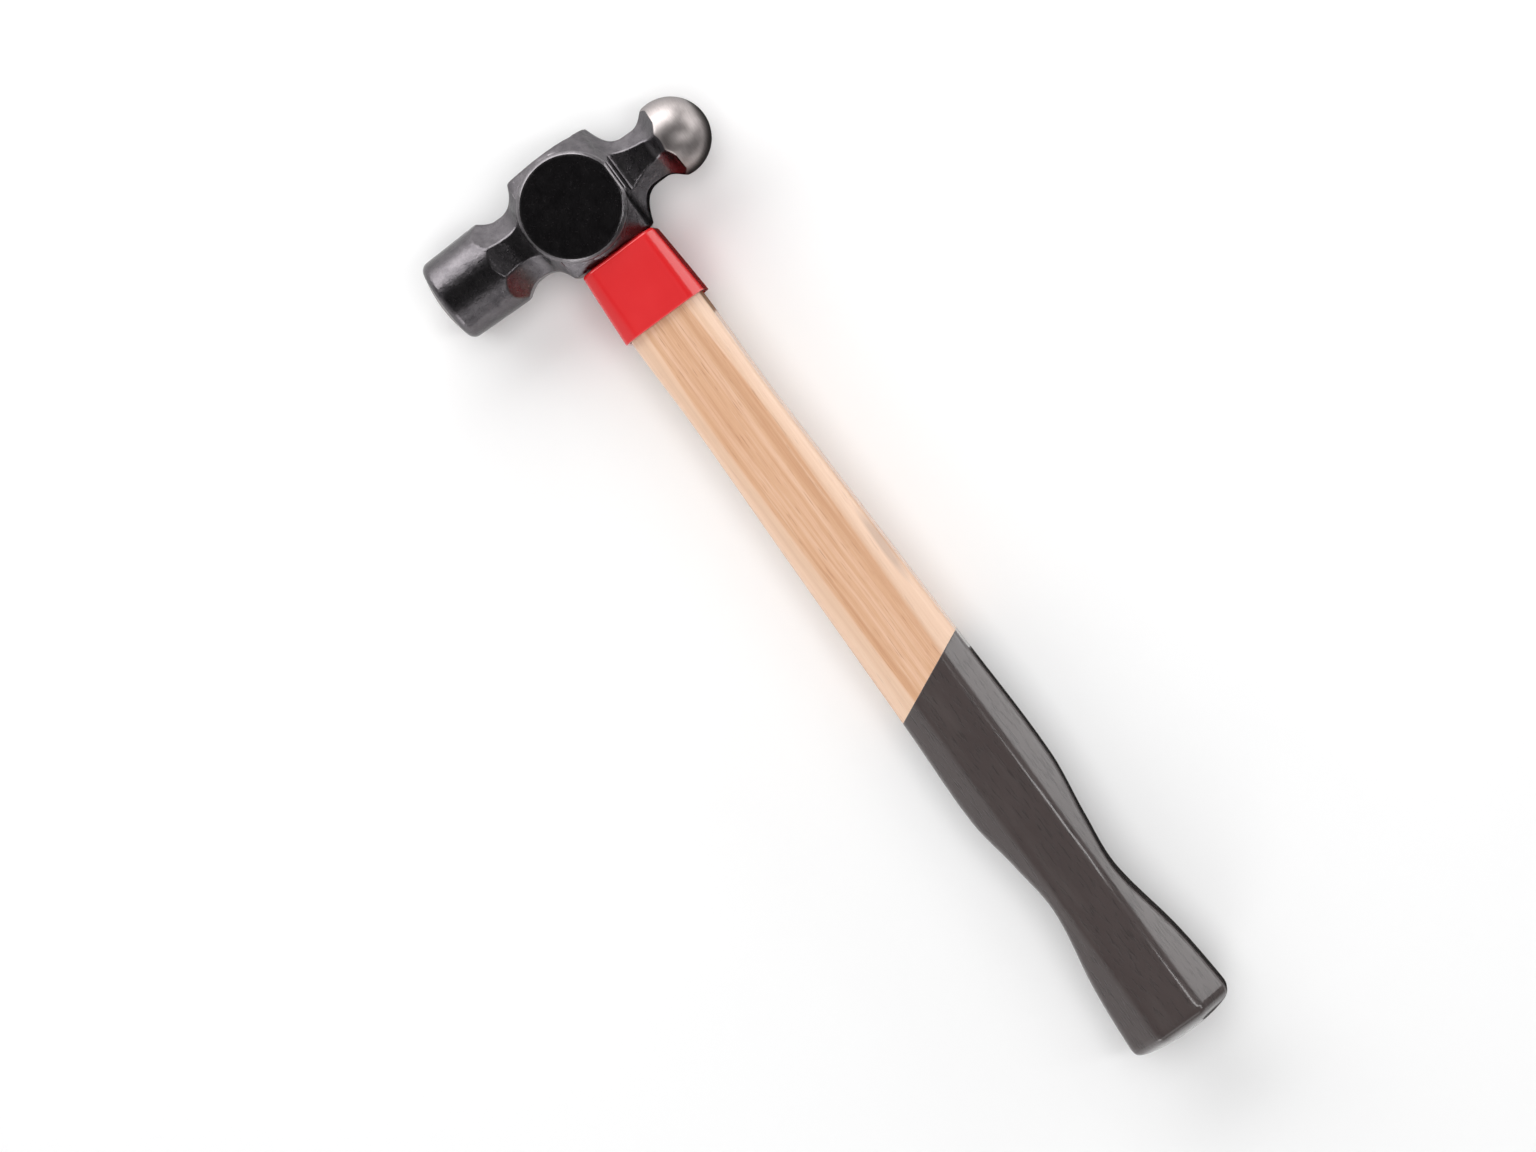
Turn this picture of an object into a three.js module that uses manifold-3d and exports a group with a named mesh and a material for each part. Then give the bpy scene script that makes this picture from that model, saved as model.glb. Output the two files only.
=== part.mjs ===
// Ball peen hammer, 8 oz class, with a hickory handle and a pressed-steel handle jacket.
// Millimetres, +Z up. The hammer lies flat on one cheek:
//   +X runs along the handle from the butt to the top of the head,
//   +Y points to the poll (the flat striking end), -Y to the ball,
//   the origin is the centre of the lower cheek face, on the surface that the hammer lies on.
import * as THREE from "three";
import { mergeVertices } from "three/addons/utils/BufferGeometryUtils.js";
import Module from "manifold-3d";

const wasm = await Module();
wasm.setup();

// ---- driving dimensions ----

const GAP = 0.3; // clearance kept between touching pieces

// head, measured from the crossing of the head's axis and the handle's axis
const BODY_HALF_HEIGHT = 15.5; // eye block, along X
const BODY_HALF_THICKNESS = 10.6; // eye block under the cheek bosses, along Z
const CHEEK_RADIUS = 14.3;
const CHEEK_EDGE = 1.0; // chamfer of the cheek boss, radial
const CHEEK_EDGE_HEIGHT = 0.9;
const CHEEK_HALF_THICKNESS = 12.2; // from the head's axis to a cheek face
const CHEEK_OFFSET = 2.2; // cheek centre, towards the poll from the handle's axis
const CHEEK_WALL = 11.0; // where the diagonal flats meet the wall of the cheek boss, along Z
const CHEEK_RELIEF_FROM = -12.4; // slope across the ball side of the cheek
const CHEEK_RELIEF_TO = -10.3;
const CHEEK_RELIEF_CLEAR = 0.3; // the slope runs this far past the cheek's face
const POLL_RADIUS = 11.95;
const POLL_RIM_RADIUS = 11.55;
const POLL_CORNER = 2.3;
const POLL_CROWN = 1.3;
const POLL_END = 45.4; // crown of the striking face
const POLL_TAPER_FROM = 27;
const POLL_TURNED_FROM = 18.4; // turned from here to the striking face
const POLL_NECK_HALF = 9.35; // half width across flats
const POLL_NECK_AT = 20.7;
const BALL_RADIUS = 10.55;
const BALL_AT = 27.9; // ball centre, towards -Y
const BALL_TURNED_TO = 4.3; // the ball is turned this far past its centre, towards the neck
const BALL_NECK_HALF = 7.2;
const BALL_NECK_AT = 20.9;

// the flats flare from the neck into the ball, and from the other neck into the poll
const FLARE_BEND_AT = 22.7;
const FLARE_AT = 24.7;
const FLARE_HALF = 9.25;
const FLARE_SLOPE = 0.85;
const FLARE_END = 32;
const FLARE_SHIFT = { top: 0, diagonal: 1.3, side: 0 }; // how much deeper into the ball
const POLL_RUN_OUT = { top: 25.8, diagonal: 28.3, side: 27.7 };
const RUN_OUT_BEND = 0.4; // share of a run-out at which it bends
const RUN_OUT_PAST = { along: 2, out: 1.4 }; // how far a run-out goes on past the poll's surface

// profile of the eye block between the necks, along Y
const EAR_FROM = -12.4; // foot of the ears' steep walls
const EAR_TO = 13.6;
const EAR_ROUND = 1.0; // rounding of the ears' crests
const EAR_WALL = 2.9; // height of the steep walls
const EAR_LEAN = 0.6; // how far the steep walls lean in
const SHOULDER_FROM = -11.2;
const SHOULDER_TO = 15.3;
const SIDE_FROM = -12.2;
const SIDE_TO = 15.6;

// corners of the fillets between the eye block and the necks
const BALL_FILLET = { top: -14.5, diagonal: -14.5, side: -13.0 };
const POLL_FILLET = { top: 14.7, diagonal: 16.6, side: 17.1 };

// room left around the solids that the head is cut with
const CLEAR = { half: 60, across: 20, radius: 24, step: 0.4 };

// eye and what fills it
const EYE_HALF_LENGTH = 8.9; // along Y
const EYE_HALF_WIDTH = 7.0; // along Z
const EYE_ROUNDNESS = 3;
const SHEET = 1.0; // jacket steel
const PLATE_THICKNESS = 1.5;
const PLATE_RECESS = 0.5; // plate top under the top of the head
const PLATE_HOLE_RADIUS = 3.6;
const WEDGE_RADIUS = 3.3;
const WEDGE_TIP_RADIUS = 2.8;
const WEDGE_WALL = 1.0;
const WEDGE_LENGTH = 13;
const WEDGE_PROUD = 0.2; // wedge top over the plate

// jacket skirt below the head
const JACKET_TOP = -BODY_HALF_HEIGHT - GAP;
const JACKET_END = -36.6;

// handle
const BUTT_END = -263.5;
const BUTT_CORNER_START = -258.6;
const BUTT_HALF_THICKNESS = 12.19; // the butt rests on the same surface as the cheek
const BUTT_CROWN = 11; // how far the section draws in over the butt's end
const DIP_AT = -150.6; // where the lacquer line crosses the handle's axis
const DIP_SLOPE = 0.46; // the line runs nearer to the head on the ball side
const COAT = 0.5; // lacquer thickness
const FLATS_SHARPNESS = 18; // how crisp the long edges of the handle are
const CHAMFER_ANGLE = THREE.MathUtils.degToRad(52); // chamfer normal, from Y towards Z

// [X, half width along Y, half thickness along Z, chamfer distance from the axis]
const JACKET_STATIONS = [
  [JACKET_END, 12.35, 11.0, 13.9],
  [-26, 11.75, 10.6, 13.55],
  [JACKET_TOP, 11.1, 10.2, 13.1],
];
const HANDLE_STATIONS = [
  [BUTT_END, 14.6, 12.05, 13.6],
  [-257, 14.6, BUTT_HALF_THICKNESS, 13.6], // butt swell
  [-240, 13.1, 11.4, 12.9],
  [-218, 9.5, 9.7, 11.6], // waist
  [-203, 10.9, 10.0, 11.8],
  [-186, 13.2, 10.4, 12.2], // swell in front of the hand
  [-153, 12.6, 9.95, 11.75],
  [-107, 11.7, 9.5, 11.75],
  [-63, 10.75, 9.25, 11.75],
  [-37, 10.9, 9.7, 12.15],
  [JACKET_TOP, 9.75, 8.9, 11.2],
];

// facets per turn and steps along the long pieces
const HANDLE_SIDES = 32;
const TURNED_SIDES = 48;
const ROUND_SIDES = 32;
const SHAFT_STEPS = 26;
const SHOULDER_STEPS = 6;

// ---- solids ----

// A closed geometry as a manifold-3d solid.
function solid(geometry) {
  const bare = geometry.clone();
  bare.deleteAttribute("normal");
  bare.deleteAttribute("uv");
  const merged = mergeVertices(bare, 1e-4);
  return new wasm.Manifold(
    new wasm.Mesh({
      numProp: 3,
      vertProperties: new Float32Array(merged.attributes.position.array),
      triVerts: new Uint32Array(merged.index.array),
    }),
  );
}

// A manifold-3d solid as a three.js geometry.
function geometryOf(body) {
  const mesh = body.getMesh();
  const geometry = new THREE.BufferGeometry();
  geometry.setAttribute("position", new THREE.BufferAttribute(mesh.vertProperties, 3));
  geometry.setIndex(new THREE.BufferAttribute(mesh.triVerts, 1));
  const faceted = geometry.toNonIndexed();
  faceted.computeVertexNormals();
  return faceted;
}

// Values at x on a smooth line through stations, each [x, value, value, ...] in rising x.
function along(stations, x) {
  const last = stations.length - 1;
  const slope = (i, k) => {
    const a = stations[Math.max(i - 1, 0)];
    const b = stations[Math.min(i + 1, last)];
    return (b[k] - a[k]) / (b[0] - a[0]);
  };
  let i = 0;
  while (i < last - 1 && x > stations[i + 1][0]) i += 1;
  const from = stations[i];
  const to = stations[i + 1];
  const span = to[0] - from[0];
  const t = THREE.MathUtils.clamp((x - from[0]) / span, 0, 1);
  const ease = t * t * (3 - 2 * t);
  return from.slice(1).map((value, j) => {
    const k = j + 1;
    const leave = slope(i, k) * span * t * (1 - t) * (1 - t);
    const arrive = slope(i + 1, k) * span * t * t * (t - 1);
    return value + (to[k] - value) * ease + leave + arrive;
  });
}

// Radius at an angle of a section bounded by two pairs of flats and two pairs of chamfers.
function chamferedRadius(angle, [halfWidth, halfThickness, chamfer]) {
  const y = Math.abs(Math.cos(angle));
  const z = Math.abs(Math.sin(angle));
  const out = y * Math.cos(CHAMFER_ANGLE) + z * Math.sin(CHAMFER_ANGLE);
  const sum =
    Math.pow(y / halfWidth, FLATS_SHARPNESS) +
    Math.pow(z / halfThickness, FLATS_SHARPNESS) +
    Math.pow(out / chamfer, FLATS_SHARPNESS);
  return Math.pow(sum, -1 / FLATS_SHARPNESS);
}

// Radius at an angle of the oval of the eye, drawn in by an inset.
function eyeRadius(angle, inset) {
  const y = Math.abs(Math.cos(angle)) / (EYE_HALF_LENGTH - inset);
  const z = Math.abs(Math.sin(angle)) / (EYE_HALF_WIDTH - inset);
  const sum = Math.pow(y, EYE_ROUNDNESS) + Math.pow(z, EYE_ROUNDNESS);
  return Math.pow(sum, -1 / EYE_ROUNDNESS);
}

// A bar along X through rings, each { x, radius(angle) }, in rising x, with flat ends.
function bar(rings, sides) {
  const steps = rings.length - 1;
  const geometry = new THREE.CylinderGeometry(1, 1, steps, sides, steps);
  const position = geometry.attributes.position;
  for (let i = 0; i < position.count; i += 1) {
    const ring = rings[Math.round(position.getY(i) + steps / 2)];
    const reach = Math.hypot(position.getX(i), position.getZ(i));
    const angle = Math.atan2(position.getZ(i), -position.getX(i));
    const radius = reach < 0.5 ? 0 : ring.radius(angle);
    position.setXYZ(i, ring.x, radius * Math.cos(angle), radius * Math.sin(angle));
  }
  return solid(geometry);
}

// A straight bar with the eye's oval section.
function ovalBar(from, to, inset) {
  const radius = (angle) => eyeRadius(angle, inset);
  return bar([from, to].map((x) => ({ x, radius })), ROUND_SIDES);
}

// A cylinder or cone along X.
function roundBar(from, to, radiusFrom, radiusTo) {
  const rings = [
    { x: from, radius: () => radiusFrom },
    { x: to, radius: () => radiusTo },
  ];
  return bar(rings, ROUND_SIDES);
}

// Evenly spaced values from one end to the other, both included.
function spaced(from, to, steps) {
  return Array.from({ length: steps + 1 }, (_, i) => from + ((to - from) * i) / steps);
}

// A ring of the chamfered section at x, drawn in by an inset.
function stationRing(stations, x, inset) {
  const size = along(stations, x).map((value) => value - inset);
  return { x, radius: (angle) => chamferedRadius(angle, size) };
}

// ---- head ----

// Outline of one pair of flats, as seen square on, and the solid between them.
// The path runs along the head from the ball (-) to the poll (+), with its mirror image below.
// turn is the direction that the flats face: 0 for top and bottom, 90 for the cheeks.
// kind picks the pair's own run-outs.
function betweenFlats(turn, kind, drawBody) {
  const shift = FLARE_SHIFT[kind];
  const pollRunOut = POLL_RUN_OUT[kind];
  const flareAt = FLARE_AT + shift;
  const flareTop = FLARE_HALF + FLARE_SLOPE * (FLARE_END - flareAt);
  const neckAt = BALL_NECK_AT + shift;
  const bend = POLL_NECK_AT + RUN_OUT_BEND * (pollRunOut - POLL_NECK_AT);
  const past = pollRunOut + RUN_OUT_PAST.along;
  const path = new THREE.Path();
  path.moveTo(-CLEAR.half, CLEAR.across);
  path.lineTo(-FLARE_END, CLEAR.across);
  path.lineTo(-FLARE_END, flareTop);
  path.lineTo(-flareAt, FLARE_HALF);
  path.quadraticCurveTo(-FLARE_BEND_AT - shift, BALL_NECK_HALF, -neckAt, BALL_NECK_HALF);
  drawBody(path);
  path.quadraticCurveTo(bend, POLL_NECK_HALF, pollRunOut, POLL_RADIUS);
  path.lineTo(past, POLL_RADIUS + RUN_OUT_PAST.out);
  path.lineTo(past, CLEAR.across);
  path.lineTo(CLEAR.half, CLEAR.across);
  const half = path.getPoints(4);
  const below = half.map((p) => new THREE.Vector2(p.x, -p.y)).reverse();
  const shape = new THREE.Shape(half.concat(below));
  const depth = 2 * CLEAR.half;
  const geometry = new THREE.ExtrudeGeometry(shape, { depth, bevelEnabled: false });
  geometry.translate(0, 0, -CLEAR.half);
  geometry.rotateX(THREE.MathUtils.degToRad(turn));
  geometry.rotateZ(Math.PI / 2);
  return solid(geometry);
}

// Top and bottom of the eye block, with the ears over both necks.
function drawEars(path) {
  const top = BODY_HALF_HEIGHT;
  const crestFrom = EAR_FROM + EAR_LEAN;
  const crestTo = EAR_TO - EAR_LEAN;
  path.quadraticCurveTo(BALL_FILLET.top, BALL_NECK_HALF, EAR_FROM, top - EAR_WALL);
  path.lineTo(crestFrom, top - EAR_ROUND);
  path.quadraticCurveTo(crestFrom, top, crestFrom + EAR_ROUND, top);
  path.lineTo(crestTo - EAR_ROUND, top);
  path.quadraticCurveTo(crestTo, top, crestTo, top - EAR_ROUND);
  path.lineTo(EAR_TO, top - EAR_WALL);
  path.quadraticCurveTo(POLL_FILLET.top, POLL_NECK_HALF, POLL_NECK_AT, POLL_NECK_HALF);
}

// Half height of the diagonal flats where they meet the wall of the round cheek boss.
function shoulderHalf(y) {
  const reach = Math.sqrt(CHEEK_RADIUS ** 2 - (y - CHEEK_OFFSET) ** 2);
  return (CHEEK_WALL + reach) / Math.SQRT2;
}

// Diagonal flats, which climb from the necks to the cheeks.
function drawShoulders(path) {
  const start = shoulderHalf(SHOULDER_FROM);
  path.quadraticCurveTo(BALL_FILLET.diagonal, BALL_NECK_HALF, SHOULDER_FROM, start);
  const steps = spaced(SHOULDER_FROM, SHOULDER_TO, SHOULDER_STEPS).slice(1);
  steps.forEach((y) => path.lineTo(y, shoulderHalf(y)));
  path.quadraticCurveTo(POLL_FILLET.diagonal, POLL_NECK_HALF, POLL_NECK_AT, POLL_NECK_HALF);
}

// Front and back of the eye block under the cheek bosses.
function drawCheeks(path) {
  const top = BODY_HALF_THICKNESS;
  path.quadraticCurveTo(BALL_FILLET.side, BALL_NECK_HALF, SIDE_FROM, top);
  path.lineTo(SIDE_TO, top);
  path.quadraticCurveTo(POLL_FILLET.side, POLL_NECK_HALF, POLL_NECK_AT, POLL_NECK_HALF);
}

// Everything of the head that is turned: the ball and the poll. The middle stands clear.
function turnedEnvelope() {
  const neckSide = -BALL_AT + BALL_TURNED_TO;
  const ballEnd = Math.asin(BALL_TURNED_TO / BALL_RADIUS);
  const cornerAt = POLL_END - POLL_CROWN - POLL_CORNER;
  const faceRadius = POLL_RIM_RADIUS - POLL_CORNER;
  const profile = new THREE.Path();
  profile.absarc(0, -BALL_AT, BALL_RADIUS, -Math.PI / 2, ballEnd, false);
  profile.lineTo(CLEAR.radius, neckSide + CLEAR.step);
  profile.lineTo(CLEAR.radius, POLL_TURNED_FROM - CLEAR.step);
  profile.lineTo(POLL_RADIUS, POLL_TURNED_FROM);
  profile.lineTo(POLL_RADIUS, POLL_TAPER_FROM);
  profile.lineTo(POLL_RIM_RADIUS, cornerAt);
  profile.absarc(faceRadius, cornerAt, POLL_CORNER, 0, Math.PI / 2, false);
  profile.quadraticCurveTo(faceRadius / 2, POLL_END, 0, POLL_END);
  const points = profile.getPoints(8);
  points[0].x = 0;
  return solid(new THREE.LatheGeometry(points, TURNED_SIDES));
}

// Round cheek bosses on both sides, relieved by a sloping flat towards the ball.
function cheekBosses() {
  const edge = CHEEK_HALF_THICKNESS - CHEEK_EDGE_HEIGHT;
  const profile = [
    new THREE.Vector2(0, -CHEEK_HALF_THICKNESS),
    new THREE.Vector2(CHEEK_RADIUS - CHEEK_EDGE, -CHEEK_HALF_THICKNESS),
    new THREE.Vector2(CHEEK_RADIUS, -edge),
    new THREE.Vector2(CHEEK_RADIUS, edge),
    new THREE.Vector2(CHEEK_RADIUS - CHEEK_EDGE, CHEEK_HALF_THICKNESS),
    new THREE.Vector2(0, CHEEK_HALF_THICKNESS),
  ];
  const turned = new THREE.LatheGeometry(profile, TURNED_SIDES);
  turned.rotateX(Math.PI / 2);
  turned.translate(0, CHEEK_OFFSET, 0);
  const reliefTop = CHEEK_HALF_THICKNESS + CHEEK_RELIEF_CLEAR;
  const flat = new THREE.Shape();
  flat.moveTo(CHEEK_RELIEF_FROM, -BODY_HALF_THICKNESS);
  flat.lineTo(CHEEK_RELIEF_TO, -reliefTop);
  flat.lineTo(CLEAR.across, -reliefTop);
  flat.lineTo(CLEAR.across, reliefTop);
  flat.lineTo(CHEEK_RELIEF_TO, reliefTop);
  flat.lineTo(CHEEK_RELIEF_FROM, BODY_HALF_THICKNESS);
  const depth = 2 * CLEAR.across;
  const relief = new THREE.ExtrudeGeometry(flat, { depth, bevelEnabled: false });
  relief.translate(0, 0, -CLEAR.across);
  relief.rotateX(Math.PI / 2);
  relief.rotateZ(Math.PI / 2);
  return solid(turned).intersect(solid(relief));
}

function headSolid() {
  const flats = betweenFlats(0, "top", drawEars)
    .intersect(betweenFlats(45, "diagonal", drawShoulders))
    .intersect(betweenFlats(-45, "diagonal", drawShoulders))
    .intersect(betweenFlats(90, "side", drawCheeks));
  const eye = ovalBar(-2 * BODY_HALF_HEIGHT, 2 * BODY_HALF_HEIGHT, 0);
  return flats.intersect(turnedEnvelope()).add(cheekBosses()).subtract(eye);
}

// ---- pieces in the eye ----

const plateTop = BODY_HALF_HEIGHT - PLATE_RECESS;
const plateBottom = plateTop - PLATE_THICKNESS;
const tenonTop = plateBottom - GAP;
const wedgeTop = plateTop + WEDGE_PROUD;
const wedgeTip = wedgeTop - WEDGE_LENGTH;

function plateSolid() {
  const blank = ovalBar(plateBottom, plateTop, GAP);
  const hole = roundBar(plateBottom - 1, plateTop + 1, PLATE_HOLE_RADIUS, PLATE_HOLE_RADIUS);
  return blank.subtract(hole);
}

// The hollow round wedge, or the groove that it makes when it is grown by a clearance.
function wedgeSolid(clearance) {
  const bore = WEDGE_RADIUS - WEDGE_WALL - clearance;
  const tip = wedgeTip - clearance;
  const top = wedgeTop + clearance;
  const outer = roundBar(tip, top, WEDGE_TIP_RADIUS + clearance, WEDGE_RADIUS + clearance);
  return outer.subtract(roundBar(tip - 1, top + 1, bore, bore));
}

// ---- jacket ----

function jacketSolid() {
  const outside = spaced(JACKET_END, JACKET_TOP, 4);
  const skirt = bar(outside.map((x) => stationRing(JACKET_STATIONS, x, 0)), HANDLE_SIDES);
  const inside = spaced(JACKET_END - 1, JACKET_TOP - SHEET, 4);
  const hollow = bar(inside.map((x) => stationRing(JACKET_STATIONS, x, SHEET)), HANDLE_SIDES);
  const tube = ovalBar(JACKET_TOP - SHEET / 2, tenonTop, GAP);
  const bore = ovalBar(JACKET_END, tenonTop + 1, GAP + SHEET);
  return skirt.subtract(hollow).add(tube).subtract(bore);
}

// ---- handle and its lacquer ----

const handleTop = JACKET_TOP - SHEET - GAP;

// The outline of the handle below the head, drawn in by an inset, with a crowned butt.
function handleBar(inset) {
  const corner = BUTT_CORNER_START - BUTT_END;
  const crown = spaced(0, 0.8, 4).map((up) => {
    const shrink = BUTT_CROWN * Math.pow(1 - up, 3);
    const size = along(HANDLE_STATIONS, BUTT_CORNER_START).map((value) => value - inset - shrink);
    return {
      x: BUTT_END + inset + (corner - inset) * up,
      radius: (angle) => chamferedRadius(angle, size),
    };
  });
  const shaft = spaced(BUTT_CORNER_START, handleTop, SHAFT_STEPS);
  return bar(crown.concat(shaft.map((x) => stationRing(HANDLE_STATIONS, x, inset))), HANDLE_SIDES);
}

// All the space on the butt side of the slanted lacquer line, moved along X by an offset.
function dippedSide(offset) {
  const reach = 300;
  const box = new THREE.BoxGeometry(reach, reach, reach);
  box.translate(-reach / 2, 0, 0);
  box.rotateZ(Math.atan(DIP_SLOPE));
  box.translate(DIP_AT + offset, 0, 0);
  return solid(box);
}

function handleSolid() {
  const bare = handleBar(0).subtract(dippedSide(GAP));
  const underCoat = handleBar(COAT + GAP);
  const tenon = ovalBar(handleTop - SHEET, tenonTop, 2 * GAP + SHEET);
  return bare.add(underCoat).add(tenon).subtract(wedgeSolid(GAP));
}

function coatSolid() {
  return handleBar(0).subtract(handleBar(COAT)).intersect(dippedSide(0));
}

// ---- assembly ----

const blackPaint = new THREE.MeshStandardMaterial({ color: 0x2a282c, roughness: 0.38, metalness: 0.6 });
const hickory = new THREE.MeshStandardMaterial({ color: 0xe3bd92, roughness: 0.42, metalness: 0 });
const redPaint = new THREE.MeshStandardMaterial({ color: 0xd3222a, roughness: 0.22, metalness: 0.1 });
const darkLacquer = new THREE.MeshStandardMaterial({ color: 0x443d3c, roughness: 0.4, metalness: 0 });
const plainSteel = new THREE.MeshStandardMaterial({ color: 0xa9a7a4, roughness: 0.35, metalness: 1 });

function piece(name, body, material) {
  const mesh = new THREE.Mesh(geometryOf(body), material);
  mesh.name = name;
  return mesh;
}

const hammer = new THREE.Group();
hammer.position.set(0, -CHEEK_OFFSET, CHEEK_HALF_THICKNESS);
hammer.add(piece("head", headSolid(), blackPaint));
hammer.add(piece("handle", handleSolid(), hickory));
hammer.add(piece("handle_jacket", jacketSolid(), redPaint));
hammer.add(piece("locking_plate", plateSolid(), plainSteel));
hammer.add(piece("ring_wedge", wedgeSolid(0), plainSteel));
hammer.add(piece("grip_coating", coatSolid(), darkLacquer));

const part = new THREE.Group();
part.add(hammer);

export default part;
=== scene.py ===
"""Ball peen hammer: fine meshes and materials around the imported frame.

Everything is modelled in millimetres in the head's own frame (x up the handle, y towards the poll,
z out of the upper cheek, from the crossing of the head's and the handle's axes), and turned into
the part's metres by one function.
"""
import math

import bpy
import numpy as np
from mathutils import Matrix, Vector


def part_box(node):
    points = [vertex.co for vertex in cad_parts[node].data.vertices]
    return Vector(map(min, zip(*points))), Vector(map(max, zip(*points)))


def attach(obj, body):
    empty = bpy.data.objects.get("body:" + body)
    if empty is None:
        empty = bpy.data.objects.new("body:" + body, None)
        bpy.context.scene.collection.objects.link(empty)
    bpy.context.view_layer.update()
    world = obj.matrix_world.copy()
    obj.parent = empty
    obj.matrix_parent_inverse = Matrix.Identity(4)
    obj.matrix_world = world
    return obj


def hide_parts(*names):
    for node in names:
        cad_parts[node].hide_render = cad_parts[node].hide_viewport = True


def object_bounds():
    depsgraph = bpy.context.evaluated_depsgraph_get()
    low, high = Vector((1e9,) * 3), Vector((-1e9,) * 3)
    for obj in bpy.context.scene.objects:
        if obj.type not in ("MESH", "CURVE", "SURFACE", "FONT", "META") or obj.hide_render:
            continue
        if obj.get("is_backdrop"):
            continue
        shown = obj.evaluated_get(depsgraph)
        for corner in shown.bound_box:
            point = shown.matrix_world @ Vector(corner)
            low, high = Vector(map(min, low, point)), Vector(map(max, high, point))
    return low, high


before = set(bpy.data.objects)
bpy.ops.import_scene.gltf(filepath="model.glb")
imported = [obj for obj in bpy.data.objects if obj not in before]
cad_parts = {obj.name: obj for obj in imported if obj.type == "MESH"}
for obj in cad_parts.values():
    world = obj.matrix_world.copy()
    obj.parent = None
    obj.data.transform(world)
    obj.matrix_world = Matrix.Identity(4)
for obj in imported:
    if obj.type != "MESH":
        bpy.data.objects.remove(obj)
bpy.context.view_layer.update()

MM = 0.001

# ---------------------------------------------------------------- driving dimensions, from the frame


def box_mm(node):
    """The low and high corners of a node's box, in millimetres."""
    low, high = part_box(node)
    return np.array(low) / MM, np.array(high) / MM


HEAD_LOW, HEAD_HIGH = box_mm("head")
JACKET_LOW, JACKET_HIGH = box_mm("handle_jacket")
PLATE_LOW, PLATE_HIGH = box_mm("locking_plate")
WEDGE_LOW, WEDGE_HIGH = box_mm("ring_wedge")
COAT_LOW = box_mm("grip_coating")[0]
HANDLE_HIGH = box_mm("handle")[1]

# The crossing of the two axes, in the part's frame.
CENTRE = np.array([
    (HEAD_LOW[0] + HEAD_HIGH[0]) / 2,
    (JACKET_LOW[1] + JACKET_HIGH[1]) / 2,
    (HEAD_LOW[2] + HEAD_HIGH[2]) / 2,
])

BODY_TOP = HEAD_HIGH[0] - CENTRE[0]
BODY_SIDE = 11.15  # the body's side flats, under the cheeks
CHEEK = HEAD_HIGH[2] - CENTRE[2]
CHEEK_Y = -CENTRE[1]
CHEEK_RADIUS = 14.3
CHEEK_EDGE = 1.0
CHEEK_EDGE_HEIGHT = 0.9
CHEEK_FACE_RADIUS = CHEEK_RADIUS - CHEEK_EDGE
CHEEK_WALL = 11.0  # height at which the diagonal flats meet the cheek's wall
POLL_TIP = HEAD_HIGH[1] - CENTRE[1]
POLL_RADIUS = 11.95
POLL_RIM = 11.55
POLL_CORNER = 2.3
POLL_CROWN = 1.3
POLL_FACE_Y = POLL_TIP - POLL_CROWN  # where the crowned face meets its rounded corner
POLL_CORNER_Y = POLL_FACE_Y - POLL_CORNER
POLL_FACE_RADIUS = POLL_RIM - POLL_CORNER
POLL_TURNED_FROM = 18.0
POLL_TAPERS_FROM = 27.0
POLL_NECK = 9.35
BALL_RADIUS = 10.55
BALL_Y = HEAD_LOW[1] - CENTRE[1] + BALL_RADIUS
BALL_NECK = 7.2
BALL_TURNED_TO = BALL_Y + 4.3  # the ball is turned up to here, and the flats run out into it

EYE = (8.9, 7.0)  # half width and half thickness of the oval eye
EYE_POWER = 3
EYE_MOUTH = 1.4  # how far the eye's mouths flare
SHEET = 1.0  # thickness of the jacket's sheet steel
GAP = 0.3  # between pieces that are pressed together
JACKET_END = JACKET_LOW[0] - CENTRE[0]
JACKET_TOP = -BODY_TOP - GAP
HANDLE_TOP = JACKET_TOP - SHEET - GAP
BUTT_END = COAT_LOW[0] - CENTRE[0]
BUTT_CORNER = 4.9  # length of the butt's rounded end
BUTT_CROWN = 11.0  # how much narrower the middle of its end is
TENON_TOP = HANDLE_HIGH[0] - CENTRE[0]
WEDGE_TIP = WEDGE_LOW[0] - CENTRE[0]
WEDGE_TOP = WEDGE_HIGH[0] - CENTRE[0]
WEDGE_RADIUS = (WEDGE_HIGH[1] - WEDGE_LOW[1]) / 2
WEDGE_TIP_RADIUS = WEDGE_RADIUS - 0.5
WEDGE_WALL = 1.0
DIP_AT = -150.6  # the lacquer line on the handle's axis
DIP_SLOPE = 0.46  # and how much it leans
DIP_LEAN_REACH = 30.0
COAT = 0.5
COAT_PROUD = 0.06  # how far the coating stands out of the wood

# Handle and jacket sections: x, half width, half thickness, chamfer distance from the axis.
JACKET_STATIONS = [
    (JACKET_END, 12.35, 11.0, 13.9),
    (-26, 11.75, 10.6, 13.55),
    (JACKET_TOP, 11.1, 10.2, 13.1),
]
HANDLE_STATIONS = [
    (BUTT_END, 14.6, 12.05, 13.6),
    (-257, 14.6, 12.19, 13.6),
    (-240, 13.1, 11.4, 12.9),
    (-218, 9.5, 9.7, 11.6),
    (-203, 10.9, 10.0, 11.8),
    (-186, 13.2, 10.4, 12.2),
    (-153, 12.6, 9.95, 11.75),
    (-107, 11.7, 9.5, 11.75),
    (-63, 10.75, 9.25, 11.75),
    (-37, 10.9, 9.7, 12.15),
    (JACKET_TOP, 9.75, 8.9, 11.2),
]
CHAMFER_ANGLE = math.radians(52)
SHARPNESS = 46  # power of the section's norm: the higher, the crisper its edges
AROUND = 192  # points round the handle and what rides on it

# ---------------------------------------------------------------- small tools


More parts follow.
